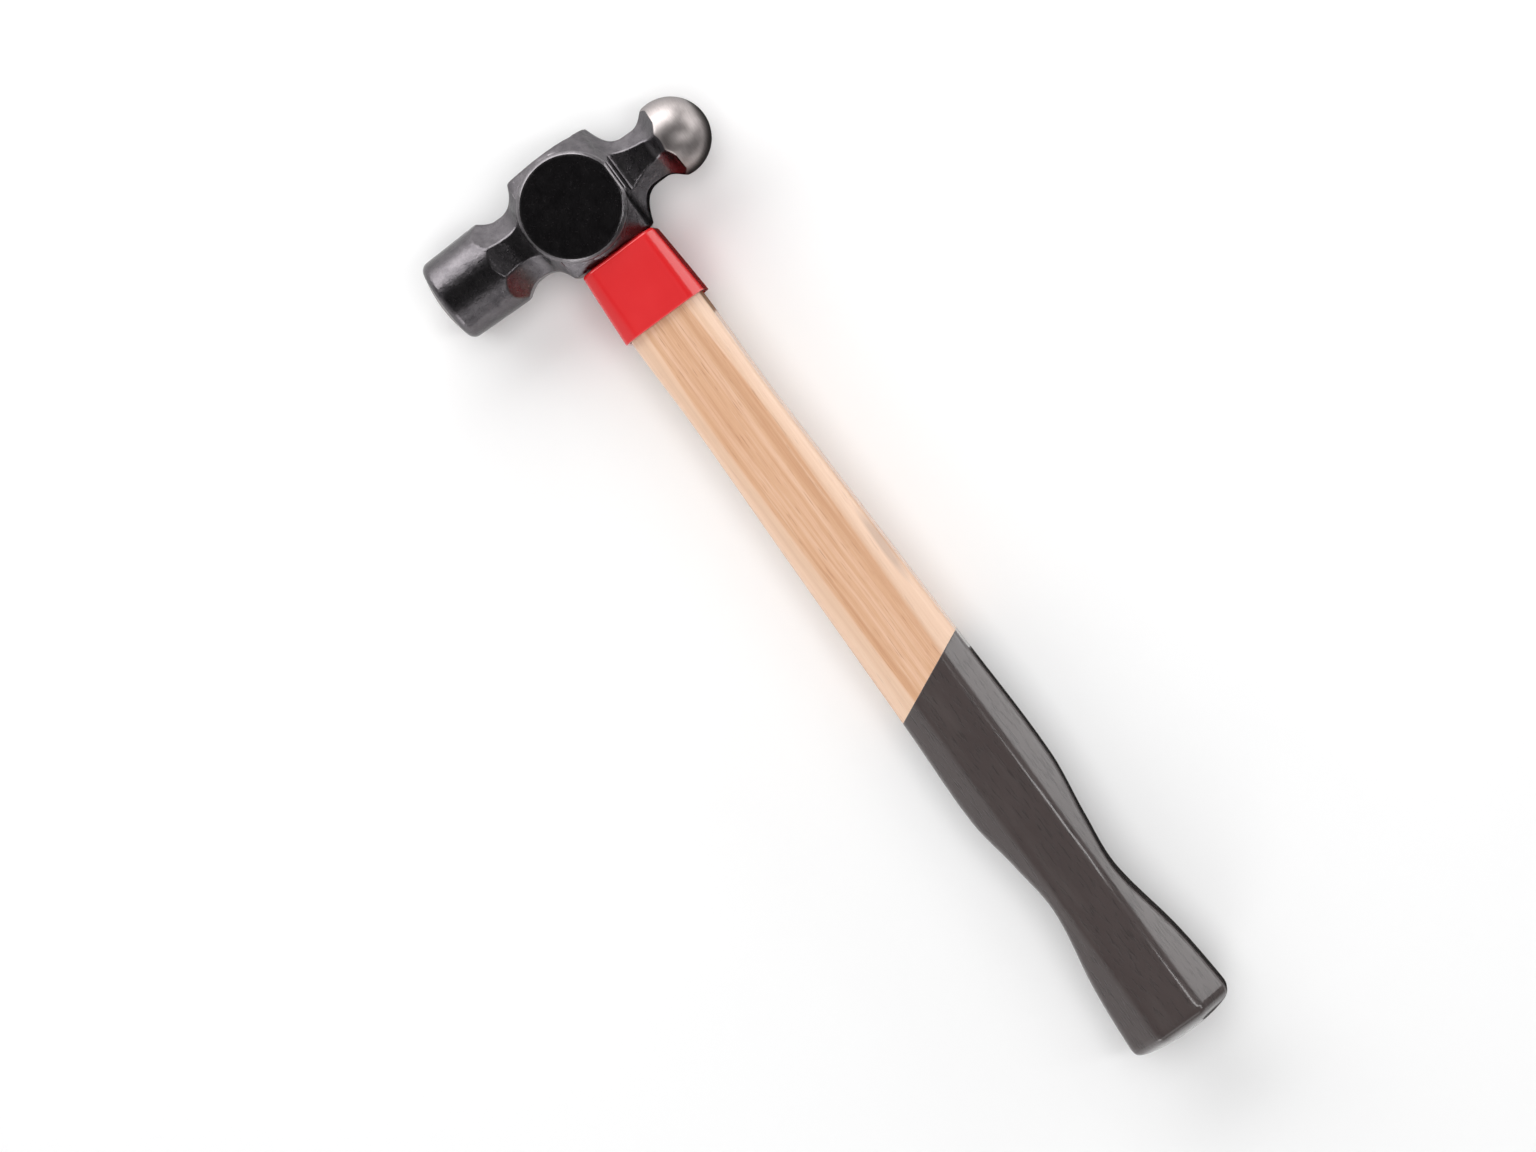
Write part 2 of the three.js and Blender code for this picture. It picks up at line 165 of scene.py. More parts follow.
def outline(start, *steps, samples=20):
    """Points of a chain of lines (x, y) and quadratic curves (cx, cy, x, y)."""
    points = [start]
    for step in steps:
        if len(step) == 2:
            points.append(step)
            continue
        cx, cy, ex, ey = step
        sx, sy = points[-1]
        for i in range(1, samples + 1):
            t = i / samples
            a, b, c = (1 - t) ** 2, 2 * t * (1 - t), t * t
            points.append((a * sx + b * cx + c * ex, a * sy + b * cy + c * ey))
    return np.array(points).T


def soft_max(a, b, reach):
    """The larger of a and b, rounded where they are within reach of each other."""
    near = np.maximum(reach - np.abs(a - b), 0) / reach
    return np.maximum(a, b) + near * near * reach / 4


def along(stations, x):
    """Values at x on a smooth line through the stations."""
    table = np.array(stations, dtype=float)
    knots, values = table[:, 0], table[:, 1:]
    slopes = np.empty_like(values)
    slopes[1:-1] = (values[2:] - values[:-2]) / (knots[2:] - knots[:-2])[:, None]
    slopes[0] = (values[1] - values[0]) / (knots[1] - knots[0])
    slopes[-1] = (values[-1] - values[-2]) / (knots[-1] - knots[-2])
    i = int(np.clip(np.searchsorted(knots, x) - 1, 0, len(knots) - 2))
    span = knots[i + 1] - knots[i]
    t = min(max((x - knots[i]) / span, 0.0), 1.0)
    ease = t * t * (3 - 2 * t)
    leave = slopes[i] * span * t * (1 - t) ** 2
    arrive = slopes[i + 1] * span * t * t * (t - 1)
    return values[i] + (values[i + 1] - values[i]) * ease + leave + arrive


def turns(count):
    """Angles of evenly spaced points round a ring."""
    return np.linspace(0, 2 * math.pi, count, endpoint=False)


def chamfered(angle, size):
    """Radius of the handle's section: two pairs of flats and two pairs of chamfers, edges rounded."""
    half_width, half_thickness, chamfer = size
    y, z = np.abs(np.cos(angle)), np.abs(np.sin(angle))
    slant = y * math.cos(CHAMFER_ANGLE) + z * math.sin(CHAMFER_ANGLE)
    total = (y / half_width) ** SHARPNESS
    total = total + (z / half_thickness) ** SHARPNESS + (slant / chamfer) ** SHARPNESS
    return total ** (-1 / SHARPNESS)


def oval(angle, inset):
    """Radius of the eye's oval section, drawn in by an inset."""
    y = np.abs(np.cos(angle)) / (EYE[0] - inset)
    z = np.abs(np.sin(angle)) / (EYE[1] - inset)
    return (y ** EYE_POWER + z ** EYE_POWER) ** (-1 / EYE_POWER)


def ring(x, radius, angle):
    """A ring of points round the handle's axis. x may vary round the ring."""
    x = np.broadcast_to(x, angle.shape)
    return np.stack([x, radius * np.cos(angle), radius * np.sin(angle)], axis=-1)


def make_object(name, points, faces):
    """An object in the part's metres from points in the head's millimetres."""
    mesh = bpy.data.meshes.new(name)
    mesh.from_pydata(((points + CENTRE) * MM).tolist(), [], faces)
    mesh.validate()
    mesh.shade_smooth()
    thing = bpy.data.objects.new(name, mesh)
    bpy.context.scene.collection.objects.link(thing)
    return thing


def signed_volume(points, faces):
    """Six times the volume that the faces enclose, negative when they face inwards."""
    total = 0.0
    for size in (3, 4):
        some = np.array([f for f in faces if len(f) == size])
        if not len(some):
            continue
        a = points[some[:, 0]]
        for k in range(1, size - 1):
            b, c = points[some[:, k]], points[some[:, k + 1]]
            total += float(np.einsum("ij,ij->i", a, np.cross(b, c)).sum())
    return total


def skin(name, rows, loop=False):
    """A closed mesh through rows of points, each a closed ring, with capped ends or joined in a loop."""
    rows = np.asarray(rows)
    count, around = rows.shape[:2]
    points = rows.reshape(-1, 3)
    row = np.arange(count if loop else count - 1)[:, None]
    column = np.arange(around)[None, :]
    below, above = row * around, (row + 1) % count * around
    right = (column + 1) % around
    quads = np.stack([below + column, below + right, above + right, above + column], axis=-1)
    faces = quads.reshape(-1, 4).tolist()
    if not loop:
        start, end, last_row = len(points), len(points) + 1, (count - 1) * around
        points = np.concatenate([points, [rows[0].mean(axis=0), rows[-1].mean(axis=0)]])
        faces += [[start, (i + 1) % around, i] for i in range(around)]
        faces += [[end, last_row + i, last_row + (i + 1) % around] for i in range(around)]
    if signed_volume(points, faces) < 0:
        faces = [face[::-1] for face in faces]
    return make_object(name, points, faces)


def cut(target, tool, operation):
    """A boolean of two closed meshes, applied at once."""
    modifier = target.modifiers.new("cut", "BOOLEAN")
    modifier.solver = "MANIFOLD"
    modifier.operation = operation
    modifier.object = tool
    graph = bpy.context.evaluated_depsgraph_get()
    mesh = bpy.data.meshes.new_from_object(target.evaluated_get(graph))
    target.modifiers.clear()
    target.data = mesh
    bpy.data.objects.remove(tool)


def finish_piece(piece, node, material, sharp=40):
    """Shading, material, body and node of one piece."""
    mesh = piece.data
    mesh.shade_smooth()
    mesh.set_sharp_from_angle(angle=math.radians(sharp))
    mesh.materials.clear()
    mesh.materials.append(material)
    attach(piece, "root")
    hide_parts(node)


# ---------------------------------------------------------------- head

EAR_CENTRE, EAR_LENGTH, EAR_WIDTH, EAR_POWER = 0.65, 12.1, 11.0, 5.0
# Facet across each ear's corner on the ball side: its normal (x, y, z) and its distance.
EAR_FACET = (0.58, 0.52, 0.63)
EAR_FACET_AT = 16.49
# The facet on the poll side is smaller and leans less.
POLL_FACET = (0.62, 0.30, 0.72)
POLL_FACET_AT = 17.25
EAR_CROWN = 0.003  # how fast the ears' crests fall away from their middle
EAR_WALL_SLOPE = 2.4  # keeps distances true on the steep wall round an ear

# Distances of the flats from the head's axis, with their run-outs into the ball and the poll.
OUTLINE_END = 34  # the outlines end here, outside the turned shape on both sides
BALL_FLARE = [(-OUTLINE_END, 17.2), (-24.7, 9.25), (-22.7, BALL_NECK, -20.9, BALL_NECK)]
DIAGONAL_FLARE = [(-OUTLINE_END, 16.05), (-26.0, 9.25), (-24.0, BALL_NECK, -22.2, BALL_NECK)]
NECK_TOP = outline(
    *BALL_FLARE, (-12, BALL_NECK), (13, POLL_NECK), (20.7, POLL_NECK),
    (22.9, POLL_NECK, 25.8, POLL_RADIUS), (OUTLINE_END, 17.5))
# Falling wall and fillet of an ear, against the distance outside its outline.
EAR_FALL = outline((-0.9, 1.0), (-0.1, 1.0, 0.2, 0.86), (0.8, 0.66), (2.7, 0.02, 6.6, 0))
NECK_SIDE = outline(
    *BALL_FLARE, (-12.75, BALL_NECK, -12.4, 9.0), (-12.15, 10.6), (-11.6, BODY_SIDE),
    (13.6, BODY_SIDE), (15.6, 10.2), (17.2, POLL_NECK, 20.7, POLL_NECK),
    (23.4, POLL_NECK, 27.7, POLL_RADIUS), (OUTLINE_END, 16.0))
SHOULDER_SPAN = (-11.2, 15.3)  # where the diagonal flats follow the cheek
# Half of the outline that relieves the cheeks: their slope and step towards the ball.
CHEEK_RELIEF = [
    (-13.2, 9.2), (-12.4, 10.25), (-12.1, 10.6), (-10.75, 12.08),
    (-10.5, 12.215), (-10.1, 12.5), (20, 12.5),
]


def shoulder_line():
    """Distance of the diagonal flats from the head's axis: they just meet the round cheek's wall."""
    y = np.linspace(*SHOULDER_SPAN, 60)
    reach = np.sqrt(CHEEK_RADIUS ** 2 - (y - CHEEK_Y) ** 2)
    climb = (CHEEK_WALL + reach) / math.sqrt(2)
    start = outline(*DIAGONAL_FLARE, (-14.5, BALL_NECK + 0.1, y[0], climb[0]))
    end = outline((y[-1], climb[-1]), (16.6, POLL_NECK, 20.7, POLL_NECK),
                  (23.6, POLL_NECK, 28.3, POLL_RADIUS), (OUTLINE_END, 15.0))
    middle = np.array([y[1:-1], climb[1:-1]])
    return np.concatenate([start, middle, end], axis=1)


SHOULDER = shoulder_line()


def turned_profile():
    """Points (y, radius) of the turned ball, of the poll's corner and of its crowned face."""
    ball_stop = math.acos((BALL_TURNED_TO - BALL_Y) / BALL_RADIUS)
    sweep = np.linspace(math.pi - 0.02, ball_stop, 84)
    ball = np.stack([BALL_Y + BALL_RADIUS * np.cos(sweep), BALL_RADIUS * np.sin(sweep)], axis=1)
    bend = np.linspace(0, math.pi / 2, 14)
    corner = np.stack([POLL_CORNER_Y + POLL_CORNER * np.sin(bend),
                       POLL_FACE_RADIUS + POLL_CORNER * np.cos(bend)], axis=1)
    radius = np.linspace(POLL_FACE_RADIUS, 0.25, 14)[1:]
    crown = np.stack([POLL_TIP - POLL_CROWN * (radius / POLL_FACE_RADIUS) ** 2, radius], axis=1)
    return ball, corner, crown


def envelope(y):
    """Radius of the turned shape at y, wide open over the forged middle."""
    ball = np.sqrt(np.maximum(BALL_RADIUS ** 2 - (y - BALL_Y) ** 2, 0))
    poll = np.interp(y, [POLL_TAPERS_FROM, POLL_CORNER_Y], [POLL_RADIUS, POLL_RIM])
    wide_open = np.full_like(y, 40.0)
    return np.where(y < BALL_TURNED_TO, ball, np.where(y > POLL_TURNED_FROM, poll, wide_open))


def facet(normal, distance, x, y, z):
    """Height above a plane that is mirrored in all three directions."""
    return normal[0] * np.abs(x) + normal[1] * np.abs(y) + normal[2] * np.abs(z) - distance


def ear_facets(x, y, z):
    """Above zero where the forging die has cut the ears' corners. They fade out over the necks."""
    beside = np.abs(y - EAR_CENTRE)
    ball = facet(EAR_FACET, EAR_FACET_AT, x, beside, z)
    poll = facet(POLL_FACET, POLL_FACET_AT, x, beside, z)
    fade = 4 * np.maximum(beside - EAR_LENGTH, 0)
    return np.where(y < EAR_CENTRE, ball, poll) - fade


def ear_top(x, y, z):
    """Below zero under the ears' crests and under their falling walls."""
    beside = np.abs(y - EAR_CENTRE)
    across = beside / EAR_LENGTH
    oval_size = (across ** EAR_POWER + (np.abs(z) / EAR_WIDTH) ** EAR_POWER) ** (1 / EAR_POWER)
    outside = np.hypot(y - EAR_CENTRE, z) * (1 - 1 / np.maximum(oval_size, 1e-6))
    neck = np.interp(y, *NECK_TOP)
    rise = (BODY_TOP - neck) * np.interp(outside, *EAR_FALL)
    on_wall = (outside > -0.5) & (outside < 1.6)
    wall = (np.abs(x) - (neck + rise)) / np.where(on_wall, EAR_WALL_SLOPE, 1.0)
    crest = BODY_TOP - EAR_CROWN * np.minimum(beside, EAR_LENGTH) ** 2
    return soft_max(wall, np.abs(x) - crest, 0.5)


def head_field(x, y, z):
    """Below zero inside the forged and turned head, without its cheeks and eye."""
    diagonal = (np.abs(x) + np.abs(z)) / math.sqrt(2) - np.interp(y, *SHOULDER)
    side = np.abs(z) - np.interp(y, *NECK_SIDE)
    ears = soft_max(ear_top(x, y, z), ear_facets(x, y, z), 0.12)
    flats = soft_max(soft_max(diagonal, side, 0.3), ears, 0.3)
    turned = np.hypot(x, z) - envelope(y)
    return soft_max(flats, turned, 0.2)


def forged_stops(start, end):
    """Places of the rows along the forged middle: close together over the necks, wider over the body."""
    fine, coarse = 0.17, 0.42
    body_from, body_to, poll_from = -9.5, 12.0, 31.0
    return np.concatenate([
        np.arange(start + fine, body_from, fine),
        np.arange(body_from, body_to, coarse),
        np.arange(body_to, poll_from, fine),
        np.linspace(poll_from, end, 16)[:-1],
    ])


def surface_radius(stops, angle):
    """Distance of the head's surface from its axis at each stop and angle, found by halving."""
    cos, sin = np.cos(angle)[None, :], np.sin(angle)[None, :]
    y = np.repeat(stops[:, None], len(angle), axis=1)
    low, high = np.full_like(y, 2.0), np.full_like(y, 24.0)
    for _ in range(26):
        mid = (low + high) / 2
        inside = head_field(mid * cos, y, mid * sin) < 0
        low, high = np.where(inside, mid, low), np.where(inside, high, mid)
    return low


def head_rows(around):
    """Rows of points round the head's axis, from the ball's tip to the striking face."""
    ball, corner, crown = turned_profile()
    shared = 14  # the ball's last rows, which the flats already cut into
    stops = np.concatenate([ball[-shared:, 0], forged_stops(ball[-1, 0], corner[0, 0])])
    angle = turns(around)
    rows = [(y, np.full(around, radius)) for y, radius in ball[:-shared]]
    rows += zip(stops, surface_radius(stops, angle))
    rows += [(y, np.full(around, radius)) for y, radius in np.concatenate([corner, crown])]
    return [np.stack([r * np.cos(angle), np.full(around, y), r * np.sin(angle)], axis=-1) for y, r in rows]


def prism(name, outline_yz, reach):
    """A closed bar along x with this outline in y and z."""
    points = np.array(outline_yz, dtype=float)
    rows = [np.column_stack([np.full(len(points), x), points]) for x in (-reach, reach)]
    return skin(name, rows)


def cheek_discs():
    """The two round cheeks as one disc through the head, relieved by a slope towards the ball."""
    angle = turns(220)
    face, low_edge = CHEEK_FACE_RADIUS, CHEEK - CHEEK_EDGE_HEIGHT
    side = [(3.0, CHEEK), (8.0, CHEEK), (12.6, CHEEK), (face - 0.1, CHEEK), (face + 0.03, CHEEK - 0.05)]
    side += [(face + 0.5 * CHEEK_EDGE, CHEEK - 0.5 * CHEEK_EDGE_HEIGHT)]
    side += [(CHEEK_RADIUS - 0.08, low_edge + 0.07), (CHEEK_RADIUS, low_edge - 0.08)]
    side += [(CHEEK_RADIUS, low_edge - 0.6), (CHEEK_RADIUS, 8.0)]
    rows = [np.stack([radius * np.sin(angle), CHEEK_Y + radius * np.cos(angle), np.full_like(angle, height)],
                     axis=-1) for radius, height in side + [(r, -h) for r, h in reversed(side)]]
    disc = skin("cheek discs", rows)
    relief = CHEEK_RELIEF + [(y, -z) for y, z in reversed(CHEEK_RELIEF)]
    cut(disc, prism("relief", relief, 20), "INTERSECT")
    return disc


def eye_cutter():
    """The oval eye through the head, a little flared at both mouths."""
    angle = turns(120)
    stops = [(-BODY_TOP - 1, EYE_MOUTH), (-BODY_TOP + 0.5, 0.0)]
    stops += [(BODY_TOP - 0.6, 0.0), (BODY_TOP + 1, EYE_MOUTH)]
    return skin("eye", [ring(x, oval(angle, -flare), angle) for x, flare in stops])


def read_values(items, name, count, kind=float):
    """One property of all a mesh's items, as an array."""
    values = np.empty(count, dtype=kind)
    items.foreach_get(name, values)
    return values


def edge_wear(mesh):
    """Stores how convex the surface is at each vertex, for paint worn off the edges."""
    count = len(mesh.vertices)
    points = read_values(mesh.vertices, "co", count * 3).reshape(-1, 3) / MM
    normals = read_values(mesh.vertex_normals, "vector", count * 3).reshape(-1, 3)
    a, b = read_values(mesh.edges, "vertices", len(mesh.edges) * 2, np.int64).reshape(-1, 2).T
    step = points[b] - points[a]
    length2 = np.maximum((step ** 2).sum(axis=1), 1e-4)
    wear = np.zeros(count)
    np.maximum.at(wear, a, -(step * normals[a]).sum(axis=1) / length2)
    np.maximum.at(wear, b, (step * normals[b]).sum(axis=1) / length2)
    attribute = mesh.attributes.new("edge", "FLOAT", "POINT")
    attribute.data.foreach_set("value", np.clip(wear, 0, 3).astype(np.float32))


def make_head():
    """The forged head: turned ball and poll, octagonal necks, round cheeks, oval eye."""
    head = skin("hammer_head", head_rows(208))
    cut(head, cheek_discs(), "UNION")
    cut(head, eye_cutter(), "DIFFERENCE")
    edge_wear(head.data)
    return head


# ---------------------------------------------------------------- handle, coating, jacket, plate, wedge


def dip_shear(y, x):
    """Leans rows near the lacquer line so that they follow it."""
    fade = math.exp(-((x - DIP_AT) / DIP_LEAN_REACH) ** 2)
    return -DIP_SLOPE * y * fade


def handle_row(x, inset, angle):
    """One ring of the handle's outline, leaning with the lacquer line where it is near it."""
    radius = chamfered(angle, along(HANDLE_STATIONS, x) - inset)
    x = x + dip_shear(radius * np.cos(angle), x)
    return ring(x, radius, angle)


def butt_rows(inset, angle, steps=22):
    """Rings of the crowned butt, from the middle of its end to its corner."""
    rows = []
    for up in np.linspace(0, 1, steps, endpoint=False) ** 1.35:
        shrink = BUTT_CROWN * (1 - up) ** 3
        size = along(HANDLE_STATIONS, BUTT_END + BUTT_CORNER) - inset - shrink
        x = BUTT_END + inset + (BUTT_CORNER - inset) * up
        rows.append(ring(x, chamfered(angle, size), angle))
    return rows


def make_handle():
    """The wood, from the butt under its coating to the tenon with the wedge's groove."""
    angle = turns(AROUND)
    hidden = COAT + GAP
    rows = butt_rows(hidden, angle)
    rows += [handle_row(x, hidden, angle) for x in np.linspace(BUTT_END + BUTT_CORNER, DIP_AT - 0.1, 110)]
    rows += [handle_row(x, 0.0, angle) for x in np.linspace(DIP_AT, HANDLE_TOP, 160)]
    tenon = oval(angle, 2 * GAP + SHEET)
    rows += [ring(x, tenon - soften, angle) for x, soften in
             [(HANDLE_TOP, 0.0), (TENON_TOP - 0.5, 0.0), (TENON_TOP, 0.4)]]
    groove = WEDGE_RADIUS + GAP
    pin = WEDGE_RADIUS - WEDGE_WALL - GAP
    rows += [ring(TENON_TOP, groove, angle), ring(WEDGE_TIP - GAP, groove - 0.4, angle)]
    rows += [ring(WEDGE_TIP - GAP, pin, angle), ring(TENON_TOP - 0.3, pin, angle)]
    return skin("wood_handle", rows)


def make_coating():
    """The dipped skin over the grip, with a rounded edge along the lacquer line."""
    angle = turns(AROUND)
    straight_from = BUTT_END + BUTT_CORNER
    outer = butt_rows(0.0, angle)
    outer += [handle_row(x, -COAT_PROUD, angle) for x in np.linspace(straight_from, DIP_AT - 0.25, 200)]
    outer += [handle_row(DIP_AT - 0.1, -COAT_PROUD * 0.75, angle), handle_row(DIP_AT, 0.02, angle)]
    inner = [handle_row(DIP_AT, COAT, angle)]
    inner += [handle_row(x, COAT, angle) for x in np.linspace(DIP_AT - 1, straight_from, 60)]
    inner += butt_rows(COAT, angle, 12)[::-1]
    return skin("dipped_coating", outer + inner)


def make_jacket():
    """The pressed jacket: a skirt over the handle, a shoulder, and a thin tube through the eye."""
    angle = turns(AROUND)
    lip, shoulder = 0.18, 0.9

    def skirt(x, inset):
        return ring(x, chamfered(angle, along(JACKET_STATIONS, x) - inset), angle)

    def tube(x, inset):
        return ring(x, oval(angle, inset), angle)

    bend = np.linspace(0, math.pi / 2, 6)
    rows = [skirt(JACKET_END + lip * (1 - math.sin(a)), lip * (1 - math.cos(a))) for a in bend[::-1]]
    rows += [skirt(x, 0.0) for x in np.linspace(JACKET_END + lip, JACKET_TOP - shoulder, 60)[1:]]
    rows += [skirt(JACKET_TOP - shoulder * (1 - math.sin(a)), shoulder * (1 - math.cos(a))) for a in bend[1:]]
    rows += [tube(JACKET_TOP, GAP - 0.4), tube(JACKET_TOP + 0.3, GAP), tube(TENON_TOP, GAP)]
    rows += [tube(TENON_TOP, GAP + SHEET), tube(JACKET_TOP - SHEET, GAP + SHEET)]
    rows += [skirt(x, SHEET) for x in np.linspace(JACKET_TOP - SHEET, JACKET_END + lip, 24)]
    rows += [skirt(JACKET_END + lip * (1 - math.cos(a)), SHEET - lip * math.sin(a)) for a in bend[1:][::-1]]
    return skin("red_jacket", rows, loop=True)


def make_plate():
    """The oval plate in the eye's mouth, with rounded edges and a hole for the wedge."""
    angle = turns(96)
    bottom, top = PLATE_LOW[0] - CENTRE[0], PLATE_HIGH[0] - CENTRE[0]
    edge, hole = 0.22, WEDGE_RADIUS + GAP
    rows = [ring(x, oval(angle, GAP + inset), angle) for x, inset in
            [(bottom, edge), (bottom + edge * 0.3, edge * 0.3), (bottom + edge, 0), (top - edge, 0),
             (top - edge * 0.3, edge * 0.3), (top, edge), (top, 1.4)]]
    rows += [ring(x, hole + flare, angle) for x, flare in
             [(top, edge), (top - edge * 0.3, edge * 0.3), (top - edge, 0), (bottom, 0)]]
    return skin("eye_plate", rows, loop=True)


def make_wedge():
    """The hollow round wedge, tapered towards its tip."""
    angle = turns(72)
    bore = WEDGE_RADIUS - WEDGE_WALL
    profile = [(WEDGE_TIP, WEDGE_TIP_RADIUS - 0.1), (WEDGE_TIP + 0.3, WEDGE_TIP_RADIUS)]
    profile += [(WEDGE_TOP - 0.25, WEDGE_RADIUS), (WEDGE_TOP - 0.07, WEDGE_RADIUS - 0.07)]
    profile += [(WEDGE_TOP, WEDGE_RADIUS - 0.25), (WEDGE_TOP, bore + 0.25)]
    profile += [(WEDGE_TOP - 0.07, bore + 0.07), (WEDGE_TOP - 0.25, bore), (WEDGE_TIP, bore)]
    return skin("round_wedge", [ring(x, np.full_like(angle, r), angle) for x, r in profile], loop=True)


# ---------------------------------------------------------------- materials


def set_stops(ramp, stops):
    """Fills a colour ramp with (position, colour)."""
    elements = ramp.color_ramp.elements
    while len(elements) < len(stops):
        elements.new(0.5)
    for element, (position, color) in zip(elements, stops):
        element.position = position
        element.color = (*color, 1)


class Nodes:
    """A short way to write a material's node tree."""

    def __init__(self, name):
        self.material = bpy.data.materials.new(name)
        self.material.use_nodes = True
        self.tree = self.material.node_tree
        self.tree.nodes.clear()
        self.shader = self.tree.nodes.new("ShaderNodeBsdfPrincipled")
        out = self.tree.nodes.new("ShaderNodeOutputMaterial")
        self.tree.links.new(self.shader.outputs[0], out.inputs[0])
        self.place = self.tree.nodes.new("ShaderNodeTexCoord").outputs["Object"]

    def set(self, **values):
        for key, value in values.items():
            socket = self.shader.inputs[key.replace("_", " ")]
            if isinstance(value, bpy.types.NodeSocket):
                self.tree.links.new(value, socket)
            else:
                socket.default_value = value

    def feed(self, node, index, value):
        if isinstance(value, bpy.types.NodeSocket):
            self.tree.links.new(value, node.inputs[index])
        else:
            node.inputs[index].default_value = value

    def math(self, operation, *values):
        node = self.tree.nodes.new("ShaderNodeMath")
        node.operation = operation
        for index, value in enumerate(values):
            self.feed(node, index, value)
        return node.outputs[0]

    def plus(self, a, b):
        return self.math("ADD", a, b)

    def minus(self, a, b):
        return self.math("SUBTRACT", a, b)

    def times(self, a, b):
        return self.math("MULTIPLY", a, b)

    def inverse(self, mask):
        return self.math("SUBTRACT", 1.0, mask)

    def length(self, a, b):
        return self.math("SQRT", self.plus(self.math("POWER", a, 2.0), self.math("POWER", b, 2.0)))

    def axis(self, name):
        node = self.tree.nodes.new("ShaderNodeSeparateXYZ")
        self.feed(node, 0, self.place)
        return node.outputs["XYZ".index(name)]

    def vector(self, x, y, z):
        node = self.tree.nodes.new("ShaderNodeCombineXYZ")
        for index, value in enumerate((x, y, z)):
            self.feed(node, index, value)
        return node.outputs[0]

    def stretch(self, x, y, z):
        """Coordinates in millimetres divided by these feature sizes."""
        node = self.tree.nodes.new("ShaderNodeMapping")
        node.inputs["Scale"].default_value = (1000 / x, 1000 / y, 1000 / z)
        self.feed(node, 0, self.place)
        return node.outputs[0]

    def noise(self, where, scale=1.0, detail=2.0, rough=0.5):
        node = self.tree.nodes.new("ShaderNodeTexNoise")
        self.feed(node, "Vector", where)
        node.inputs["Scale"].default_value = scale
        node.inputs["Detail"].default_value = detail
        node.inputs["Roughness"].default_value = rough
        return node.outputs["Fac"]

    def cells(self, where):
        node = self.tree.nodes.new("ShaderNodeTexVoronoi")
        self.feed(node, "Vector", where)
        node.inputs["Scale"].default_value = 1.0
        return node.outputs["Distance"]

    def ramp(self, value, stops):
        """Colours against a value. The stops are (position, colour)."""
        node = self.tree.nodes.new("ShaderNodeValToRGB")
        set_stops(node, stops)
        self.feed(node, 0, value)
        return node.outputs[0]

    def step(self, value, low, high):
        """0 at low, 1 at high, straight between them."""
        node = self.tree.nodes.new("ShaderNodeMapRange")
        self.feed(node, 0, value)
        node.inputs[1].default_value = low
        node.inputs[2].default_value = high
        return node.outputs[0]

    def mix(self, amount, a, b):
        node = self.tree.nodes.new("ShaderNodeMix")
        node.data_type = "RGBA"
        for index, value in ((0, amount), (6, a), (7, b)):  # the colour mix's own sockets
            if isinstance(value, tuple):
                value = (*value, 1)
            self.feed(node, index, value)
        return node.outputs[2]

    def bump(self, height, distance, strength):
        """A bump normal. The distance is in millimetres."""
        node = self.tree.nodes.new("ShaderNodeBump")
        node.inputs["Strength"].default_value = strength
        node.inputs["Distance"].default_value = distance * MM
        self.feed(node, "Height", height)
        return node.outputs[0]

    def facing(self):
        """0 where the surface is seen square on, 1 where it is seen edge on."""
        node = self.tree.nodes.new("ShaderNodeLayerWeight")
        node.inputs["Blend"].default_value = 0.5
        return node.outputs["Facing"]

    def attribute(self, name):
        node = self.tree.nodes.new("ShaderNodeAttribute")
        node.attribute_name = name
        return node.outputs["Fac"]

    def distance(self, point):
        """Distance in millimetres from a point of the head's frame."""
        node = self.tree.nodes.new("ShaderNodeVectorMath")
        node.operation = "DISTANCE"
        self.feed(node, 0, self.place)
        node.inputs[1].default_value = [float(v) for v in (np.array(point) + CENTRE) * MM]
        return self.math("DIVIDE", node.outputs["Value"], MM)

    def along(self, name):
        """One coordinate in millimetres in the head's frame."""
        origin = float(CENTRE["XYZ".index(name)])
        return self.math("SUBTRACT", self.math("DIVIDE", self.axis(name), MM), origin)


def linear(red, green, blue):
    """An 8-bit sRGB colour as linear values."""
    return tuple(c / 12.92 if c <= 0.04045 else ((c + 0.055) / 1.055) ** 2.4
                 for c in (red / 255, green / 255, blue / 255))


LACQUER_DARK, LACQUER_PALE = (0.110, 0.102, 0.110), (0.186, 0.173, 0.183)
LACQUER_WORN = (0.34, 0.32, 0.33)
LACQUER_ON_CHAMFER = (0.45, 0.43, 0.44)
# Painted shade: the colour the lacquer is mixed towards at grazing views.
LACQUER_GRAZING_SHADE = (0.050, 0.046, 0.050)
BRIGHT_DARK, BRIGHT_PALE = (0.42, 0.378, 0.37), (0.58, 0.53, 0.52)
# Painted shade: the colour the bright steel is mixed towards at grazing views.
BRIGHT_GRAZING_SHADE = (0.13, 0.11, 0.11)


def bright_mask(n, y):
    """1 where the steel is turned or ground bright: the ball, and the striking face inside its rim."""
    at_radius = n.step(n.distance((0, BALL_Y, 0)), BALL_RADIUS - 0.16, BALL_RADIUS - 0.05)
    before_flats = n.step(y, BALL_TURNED_TO + 0.35, BALL_TURNED_TO - 0.1)
    wander = n.times(n.minus(n.noise(n.stretch(3, 3, 3), detail=3), 0.5), 0.5)
    on_face = n.step(n.plus(y, wander), POLL_FACE_Y - 0.15, POLL_FACE_Y + 0.02)
    return n.math("MAXIMUM", n.times(at_radius, before_flats), on_face)


